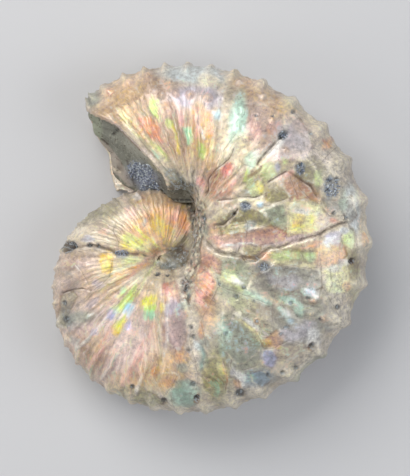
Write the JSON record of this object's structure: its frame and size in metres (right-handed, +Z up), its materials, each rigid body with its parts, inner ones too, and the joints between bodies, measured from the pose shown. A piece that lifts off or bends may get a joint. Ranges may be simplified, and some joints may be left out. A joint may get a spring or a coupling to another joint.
{
  "type": "fossil ammonite",
  "caption": "Fossil of a hooked, coiled ammonite shell with its mother-of-pearl surface, ribs and rows of tubercles, and rock in its broken mouth, lying on one flank.",
  "frame": {"origin": "middle of the bounding box, at the surface the fossil lies on", "axes": "+Z up, out of the flank that shows in the picture; +Y towards the top of the picture, along the longest dimension; +X towards the right of the picture"},
  "size_m": [0.0676, 0.0744, 0.0273],
  "materials": {
    "nacre": "iridescent mother of pearl, satin, cracked and pitted, tan to grey with green, gold, pink and blue flashes",
    "mudstone": "dull grey-olive sandy mudstone with a patch of small grey crystals"
  },
  "bodies": {
    "root": {"shell": "nacre", "mouth_rock": "mudstone"}
  },
  "joints": []
}
